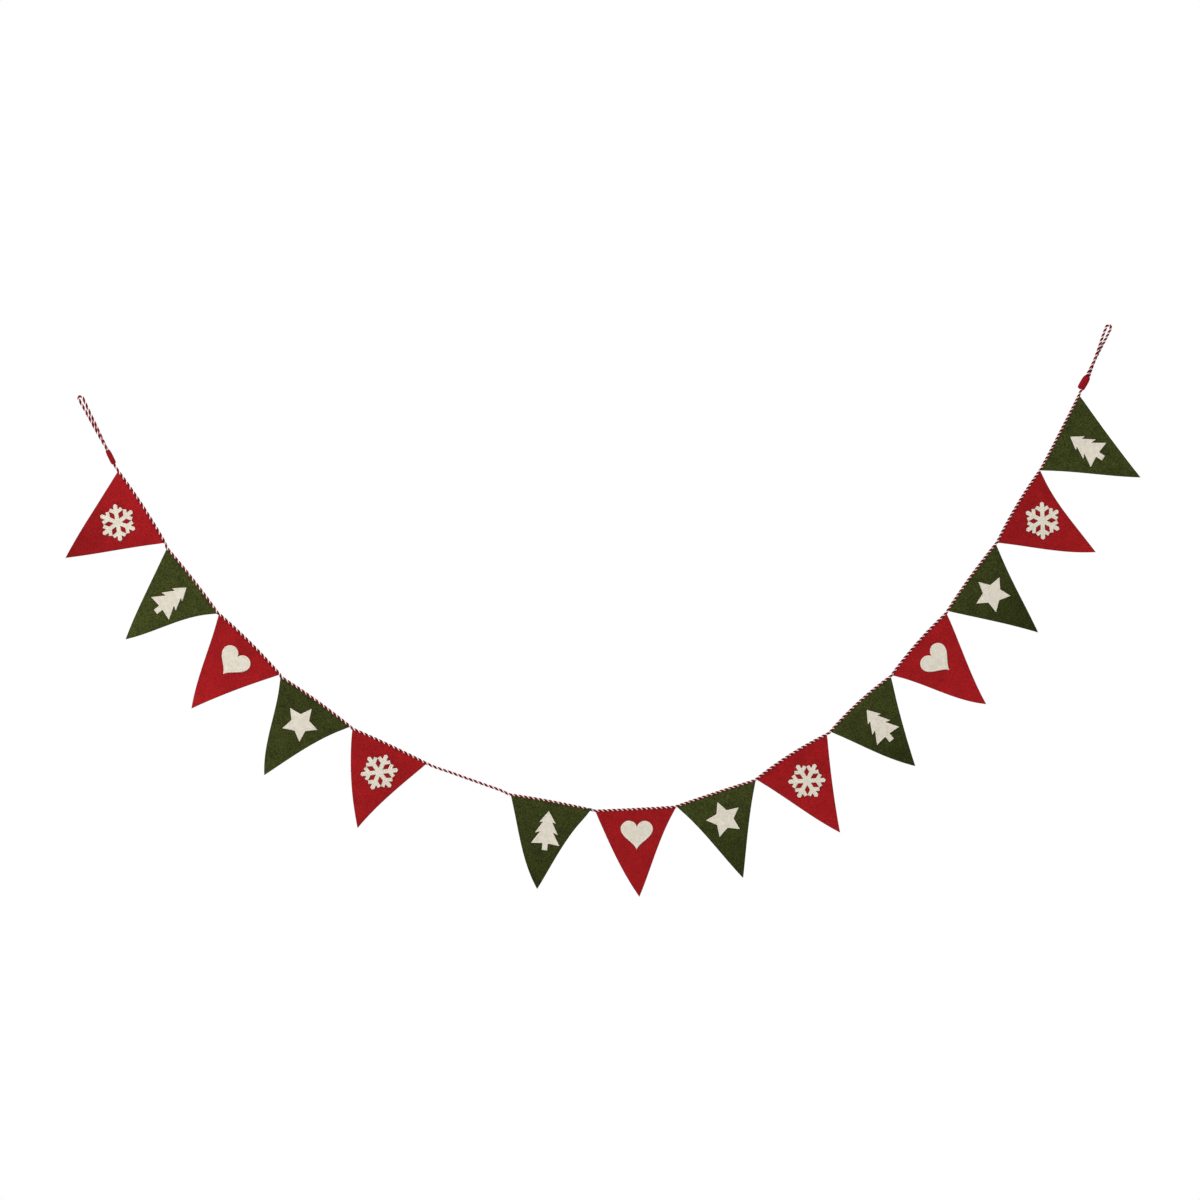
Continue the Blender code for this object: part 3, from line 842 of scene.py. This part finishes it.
def build_pennant(number, pennant, cord_line, cord_turns, finishes):
    """The pennant below the cord and the motif on it, each with what it is sewn on with."""
    outline = pennant_outline(pennant, FELT_SPACING)
    cut = motif_cut(pennant)
    sewn = [point for row in SEWN_ROWS for point in split_edges(inset(cut, row), FELT_SPACING)]
    felt = felt_shape(number, outline, FELT_SPACING, EDGE_ROWS, pennant_layers(cut), sewn, cut)
    motif = felt_shape(number, cut, MOTIF_SPACING, MOTIF_ROWS, motif_layers)
    seam = seam_stitches(number, cord_line, cord_turns)
    for piece, wool, shape, flat, stitches, sewing in (
        (f"pennant_{number:02d}_{pennant.felt}", pennant.felt, felt, outline, "seam", seam),
        (f"motif_{number:02d}_{pennant.motif}", "cream", motif, cut, "rim", rim_stitches(number, cut)),
    ):
        slot = f"{wool}_felt"
        sheet = shape.make(f"{piece}_felt", slot, finishes[slot])
        thread = finishes[f"{wool}_thread"]
        sewn_with = sewing.make(f"{stitches}_stitches_{number:02d}", slot, thread)
        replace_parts(sheet, piece)


# Finishes


def add_node(tree, kind, inputs=(), **settings):
    """A new node, each of its inputs given a value or joined to another node's output."""
    node = tree.nodes.new(kind)
    for name, value in settings.items():
        setattr(node, name, value)
    for socket, value in dict(inputs).items():
        if isinstance(value, bpy.types.NodeSocket):
            tree.links.new(value, node.inputs[socket])
        else:
            node.inputs[socket].default_value = value
    return node


def calculate(tree, operation, *values):
    return add_node(tree, "ShaderNodeMath", enumerate(values), operation=operation).outputs[0]


def join_vectors(tree, operation, *vectors):
    node = add_node(tree, "ShaderNodeVectorMath", enumerate(vectors), operation=operation)
    return node.outputs[0]


def cloud(tree, place, scale, detail, roughness=0.5):
    """Fractal noise at a place: its value and its colour."""
    return add_node(tree, "ShaderNodeTexNoise", {
        "Vector": place, "Scale": scale, "Detail": detail, "Roughness": roughness,
    }).outputs


def blend_colours(tree, share, first, second, kind="MIX"):
    node = add_node(tree, "ShaderNodeMix", {0: share, 6: first, 7: second},
                    data_type="RGBA", blend_type=kind)
    return node.outputs[2]


def spread(tree, value, low, high, to_low=0.0, to_high=1.0):
    """A value between low and high, brought smoothly to another range."""
    return add_node(
        tree, "ShaderNodeMapRange",
        {"Value": value, "From Min": low, "From Max": high, "To Min": to_low, "To Max": to_high},
        interpolation_type="SMOOTHSTEP",
    ).outputs[0]


def new_group(name, inputs):
    """A shader node group and the sockets of its named inputs."""
    group = bpy.data.node_groups.new(name, "ShaderNodeTree")
    for label, value in inputs.items():
        kind = "NodeSocketFloat" if isinstance(value, float) else "NodeSocketVector"
        group.interface.new_socket(label, in_out="INPUT", socket_type=kind).default_value = value
    return group, group.nodes.new("NodeGroupInput").outputs


def put_out(group, **values):
    """Makes an output of the group for each named value."""
    for name in values:
        group.interface.new_socket(name, in_out="OUTPUT", socket_type="NodeSocketFloat")
    results = group.nodes.new("NodeGroupOutput").inputs
    for name, value in values.items():
        group.links.new(value, results[name])


FIBRE_SIZE = (5.0, 0.25, 0.25)  # length and widths of a fibre
FIBRE_TURNS = (12.0, 71.0, 128.0)  # the ways in which they lie
SWIRL_PUSH = 7.0  # bends the fibres
NAP_STRETCH = (1.0, 0.6, 1.0)  # makes the mottles longer up and down
LINT_STRETCH = (2.0, 2.0, 1.4)


def matted_wool_group():
    """Wool fibres matted in the felt: patches, mottles, crossing fibres and a height for bump."""
    group, given = new_group("Matted Wool", {
        "Place": (0.0, 0.0, 0.0), "Patch Size": 7.0, "Mottle Size": 1.3,
    })
    place = given["Place"]

    def blotches(where, size, detail):
        scale = calculate(group, "DIVIDE", 1.0, given[size])
        return spread(group, cloud(group, where, scale, detail, 0.68)[0], 0.26, 0.74)

    nap = join_vectors(group, "MULTIPLY", place, NAP_STRETCH)
    swirl = join_vectors(group, "SUBTRACT", cloud(group, place, 0.16, 1.0)["Color"], (0.5,) * 3)
    push = join_vectors(group, "MULTIPLY", swirl, (SWIRL_PUSH,) * 3)
    bent = join_vectors(group, "ADD", place, push)
    highest = None
    for degrees in FIBRE_TURNS:
        turned = add_node(
            group, "ShaderNodeMapping",
            {"Vector": bent, "Rotation": (0.0, 0.0, math.radians(degrees)), "Scale": FIBRE_SIZE},
            vector_type="TEXTURE",
        )
        strand = cloud(group, turned.outputs[0], 1.0, 1.0)[0]
        highest = calculate(group, "MAXIMUM", highest, strand) if highest else strand
    fibres = spread(group, highest, 0.5, 0.72)
    put_out(
        group,
        Patches=blotches(place, "Patch Size", 2.0),
        Mottles=blotches(nap, "Mottle Size", 5.0),
        Fibres=fibres,
        Height=calculate(group, "MULTIPLY_ADD", cloud(group, place, 1.1, 2.0)[0], 0.8, fibres),
    )


def laid_stitches_group():
    """Rows of thread laid side by side, their stitches' ends staggered from row to row."""
    group, given = new_group("Laid Stitches", {
        "Place": (0.0, 0.0, 0.0), "Row Width": 0.9, "Stitch Length": 7.0, "Stagger": 0.37,
    })
    across = add_node(group, "ShaderNodeSeparateXYZ", {0: given["Place"]}).outputs
    rows = calculate(group, "DIVIDE", across[1], given["Row Width"])
    row = calculate(group, "FLOOR", rows)
    from_middle = calculate(group, "MULTIPLY_ADD", calculate(group, "FRACT", rows), 2.0, -1.0)
    crown = calculate(group, "SUBTRACT", 1.0, calculate(group, "MULTIPLY", from_middle, from_middle))
    travel = calculate(group, "MULTIPLY_ADD", row, given["Stagger"],
                       calculate(group, "DIVIDE", across[0], given["Stitch Length"]))
    lying = spread(group, calculate(group, "PINGPONG", travel, 0.5), 0.0, 0.05, 0.5, 1.0)
    stitch = add_node(group, "ShaderNodeCombineXYZ",
                      {0: row, 1: calculate(group, "FLOOR", travel)}).outputs[0]
    shade = add_node(group, "ShaderNodeTexWhiteNoise", {"Vector": stitch}).outputs["Value"]
    put_out(group, Shade=shade, Height=calculate(group, "MULTIPLY", crown, lying))


def twisted_yarn_group():
    """Strands twisted in a thread or a ply, from its point values round and along it."""
    group, given = new_group("Twisted Yarn", {
        "Yarn": (0.0, 0.0, 0.0), "Strands": 3.0, "Pitch": 2.0,
    })
    around = add_node(group, "ShaderNodeSeparateXYZ", {0: given["Yarn"]}).outputs
    angle = calculate(group, "ARCTAN2", around[1], around[0])
    strands = calculate(group, "MULTIPLY", angle, calculate(group, "MULTIPLY", given["Strands"], 0.5))
    climb = calculate(group, "DIVIDE", calculate(group, "MULTIPLY", around[2], math.pi), given["Pitch"])
    crown = calculate(group, "ABSOLUTE",
                      calculate(group, "SINE", calculate(group, "SUBTRACT", strands, climb)))
    stretched = join_vectors(group, "MULTIPLY", given["Yarn"], LINT_STRETCH)
    lint = cloud(group, stretched, 1.6, 3.0)[0]
    put_out(group, Crown=crown, Lint=lint, Height=calculate(group, "ADD", crown, lint))


def new_material(name, roughness, sheen, sheen_tint):
    """A material, its nodes and its shader, whose plain values are set on the shader itself."""
    material = bpy.data.materials.new(name)
    material.use_nodes = True
    shader = material.node_tree.nodes["Principled BSDF"]
    for socket, value in (
        ("Roughness", roughness), ("Specular IOR Level", 0.08),
        ("Sheen Weight", sheen), ("Sheen Tint", (*sheen_tint, 1.0)),
    ):
        shader.inputs[socket].default_value = value
    return material, material.node_tree, shader


def attribute(tree, name, output="Fac"):
    return add_node(tree, "ShaderNodeAttribute", attribute_name=name).outputs[output]


def group_node(tree, name, **values):
    """A shared effect placed in a material. An underscore in a value's name is a space."""
    inputs = {label.replace("_", " "): value for label, value in values.items()}
    return add_node(tree, "ShaderNodeGroup", inputs, node_tree=bpy.data.node_groups[name]).outputs


def shaded(tree, colour, *shades):
    for shade in shades:
        colour = blend_colours(tree, 1.0, colour, shade, "MULTIPLY")
    return colour


def give_surface(tree, shader, colour, height, strength, depth):
    """Joins a colour to the shader, and a bump from a height that is depth millimetres deep."""
    tree.links.new(colour, shader.inputs["Base Color"])
    bump = add_node(tree, "ShaderNodeBump",
                    {"Strength": strength, "Distance": depth * MM, "Height": height})
    tree.links.new(bump.outputs[0], shader.inputs["Normal"])


def felt_material(name, deep, light, fleck, fleck_share, patch_size, mottle):
    """Wool felt, mottled, darker at its cut edge, partly its own colour and partly painted shade, with
    a painted contact shadow round the motif and painted light and shade per pennant.
    """
    material, tree, shader = new_material(name, 0.95, 0.05, light)
    wool = group_node(tree, "Matted Wool", Place=attribute(tree, "place", "Vector"),
                      Patch_Size=patch_size)
    colour = blend_colours(tree, wool["Patches"], (*deep, 1.0), (*light, 1.0))
    flecks = calculate(tree, "MULTIPLY", wool["Fibres"], fleck_share)
    colour = shaded(
        tree, blend_colours(tree, flecks, colour, (*fleck, 1.0)),
        spread(tree, wool["Mottles"], 0.0, 1.0, 1.0 - mottle, 1.0 + mottle),
        # darker near the cut edge: partly the cut fibres' own colour, partly painted shade of the
        # rounded edge
        spread(tree, attribute(tree, "rim"), 0.0, 0.9, 0.78, 1.0),
        # painted contact shadow on the felt within 1.6 mm of the motif
        spread(tree, attribute(tree, "apart"), 0.0, 1.6, 0.74, 1.0),
        # painted light and shade of each pennant, from its top to its tip
        attribute(tree, "tone"),
    )
    give_surface(tree, shader, colour, wool["Height"], 0.7, 0.22)
    return material


def stitched_material(name, crown, painted_valley_shade):
    """Rows of thread over the middle of a motif that follow its edge, each stitch its own shade, with
    painted shade between rows and at the stitches' ends.
    """
    material, tree, shader = new_material(name, 0.85, 0.08, crown)
    place = attribute(tree, "place", "Vector")
    flat = add_node(tree, "ShaderNodeSeparateXYZ", {0: place}).outputs
    beside_edge = add_node(tree, "ShaderNodeCombineXYZ", {
        0: calculate(tree, "ADD", flat[0], flat[1]), 1: attribute(tree, "rim"),
    }).outputs[0]
    rows = group_node(tree, "Laid Stitches", Place=beside_edge)
    wool = group_node(tree, "Matted Wool", Place=place)
    colour = shaded(
        tree,
        # painted shade in the grooves between rows and at the stitches' ends
        blend_colours(tree, spread(tree, rows["Height"], 0.0, 0.6), (*painted_valley_shade, 1.0), (*crown, 1.0)),
        spread(tree, rows["Shade"], 0.0, 1.0, 0.94, 1.02),
        spread(tree, wool["Patches"], 0.0, 1.0, 0.94, 1.03),
    )
    give_surface(tree, shader, colour, rows["Height"], 0.8, 0.16)
    return material


def yarn_material(name, crown, painted_valley_shade, strands, pitch, roughness=0.85):
    """Thread or ply: darker between its strands, as painted shade, with fine lint."""
    material, tree, shader = new_material(name, roughness, 0.05, crown)
    twist = group_node(tree, "Twisted Yarn", Yarn=attribute(tree, "yarn", "Vector"),
                       Strands=strands, Pitch=pitch)
    share = spread(tree, twist["Crown"], 0.0, 0.7)
    colour = shaded(
        # the valleys between strands are darker as painted shade
        tree, blend_colours(tree, share, (*painted_valley_shade, 1.0), (*crown, 1.0)),
        spread(tree, twist["Lint"], 0.3, 0.7, 0.86, 1.0),
    )
    give_surface(tree, shader, colour, twist["Height"], 0.6, 0.12)
    return material


# Deep, light and fleck colours, share of the flecks, patch size and depth of the mottles
FELTS = {
    "red_felt": ((0.246, 0.0064, 0.0080), (0.302, 0.0080, 0.0098), (0.38, 0.015, 0.018),
                 0.25, 24.0, 0.26),
    "green_felt": ((0.024, 0.031, 0.0058), (0.036, 0.044, 0.0082), (0.066, 0.074, 0.019),
                   0.3, 18.0, 0.58),
}
# Colours of the strands' crowns and of the valleys between them, darker as painted shade,
# number of strands, their pitch, and how rough the thread is where it is smoother than wool
YARNS = {
    "red_thread": ((0.33, 0.0105, 0.0135), (0.165, 0.00525, 0.00675), 3.0, 1.6),
    "green_thread": ((0.037, 0.046, 0.0110), (0.0185, 0.023, 0.0055), 3.0, 1.6),
    "cream_thread": ((0.83, 0.765, 0.655), (0.58, 0.525, 0.44), 4.0, 2.4),
    "binding_thread": ((0.32, 0.007, 0.012), (0.18, 0.003, 0.006), 3.0, 1.8, 0.6),
    "cord_red": ((0.235, 0.006, 0.012), (0.10, 0.002, 0.005), 5.0, 4.2),
    "cord_white": ((0.95, 0.88, 0.86), (0.84, 0.70, 0.68), 5.0, 4.2),
}


def make_finishes():
    """Every material of the bunting, by its name."""
    matted_wool_group()
    laid_stitches_group()
    twisted_yarn_group()
    finishes = {name: felt_material(name, *values) for name, values in FELTS.items()}
    finishes |= {name: yarn_material(name, *values) for name, values in YARNS.items()}
    finishes["cream_felt"] = stitched_material(
        "cream_felt", (0.67, 0.625, 0.525), (0.51, 0.47, 0.385)
    )
    return finishes


# The studio

FLOOR_HEIGHT = -1.9
FLOOR_RADIUS = 4.2
FLOOR_SIDES = 96
WORLD_LIGHT = 0.42
# Name, place in metres from the picture's middle, size and power
LIGHTS = (
    ("key_light", (-1.6, -2.5, 2.4), 1.8, 124.0),
    ("fill_light", (2.4, -3.4, 0.4), 2.4, 26.0),
    ("back_light", (0.2, 3.4, 1.8), 2.4, 60.0),
)


def floor_material():
    """Pale and plain in the middle, as white as the studio at its rim."""
    material, tree, shader = new_material("pale_floor", 0.9, 0.0, (1.0, 1.0, 1.0))
    place = add_node(tree, "ShaderNodeTexCoord").outputs["Object"]
    reach = add_node(tree, "ShaderNodeVectorMath", {0: place}, operation="LENGTH").outputs["Value"]
    for socket, middle, rim in (("Base Color", 0.93, 0.0), ("Emission Strength", 0.0, 1.0)):
        value = spread(tree, reach, FLOOR_RADIUS * 0.4, FLOOR_RADIUS * 0.97, middle, rim)
        tree.links.new(value, shader.inputs[socket])
    shader.inputs["Emission Color"].default_value = (1.0, 1.0, 1.0, 1.0)
    return material


def build_studio():
    mesh = bpy.data.meshes.new("floor")
    turns = [math.tau * side / FLOOR_SIDES for side in range(FLOOR_SIDES)]
    rim = [(FLOOR_RADIUS * math.cos(turn), FLOOR_RADIUS * math.sin(turn), 0.0) for turn in turns]
    mesh.from_pydata(rim, [], [tuple(range(FLOOR_SIDES))])
    mesh.materials.append(floor_material())
    floor = add_object("floor", mesh)
    floor.location = (CAMERA_MIDDLE[0] * MM, 0.0, FLOOR_HEIGHT)

    world = bpy.data.worlds.new("white_studio")
    world.use_nodes = True
    bpy.context.scene.world = world
    tree = world.node_tree
    seen = add_node(tree, "ShaderNodeLightPath").outputs["Is Camera Ray"]
    strength = spread(tree, seen, 0.0, 1.0, WORLD_LIGHT, 1.0)
    background = tree.nodes["Background"]
    background.inputs["Color"].default_value = (1.0, 1.0, 1.0, 1.0)
    tree.links.new(strength, background.inputs["Strength"])

    middle = Vector((CAMERA_MIDDLE[0], 0.0, CAMERA_MIDDLE[1])) * MM
    for name, place, size, power in LIGHTS:
        light = bpy.data.lights.new(name, "AREA")
        light.size = size
        light.energy = power
        holder = add_object(name, light)
        holder.location = middle + Vector(place)
        holder.rotation_euler = Vector(place).to_track_quat("Z", "Y").to_euler()
    bpy.context.scene.view_settings.view_transform = "Standard"


def main():
    place_camera()
    finishes = make_finishes()
    cord_line, cord_turns = build_cord(finishes["cord_white"], finishes["cord_red"])
    build_binding("left_binding", LEFT_LOOP, finishes["binding_thread"])
    build_binding("right_binding", RIGHT_LOOP, finishes["binding_thread"])
    for number, pennant in enumerate(PENNANTS, 1):
        build_pennant(number, pennant, cord_line, cord_turns, finishes)
    build_studio()


main()
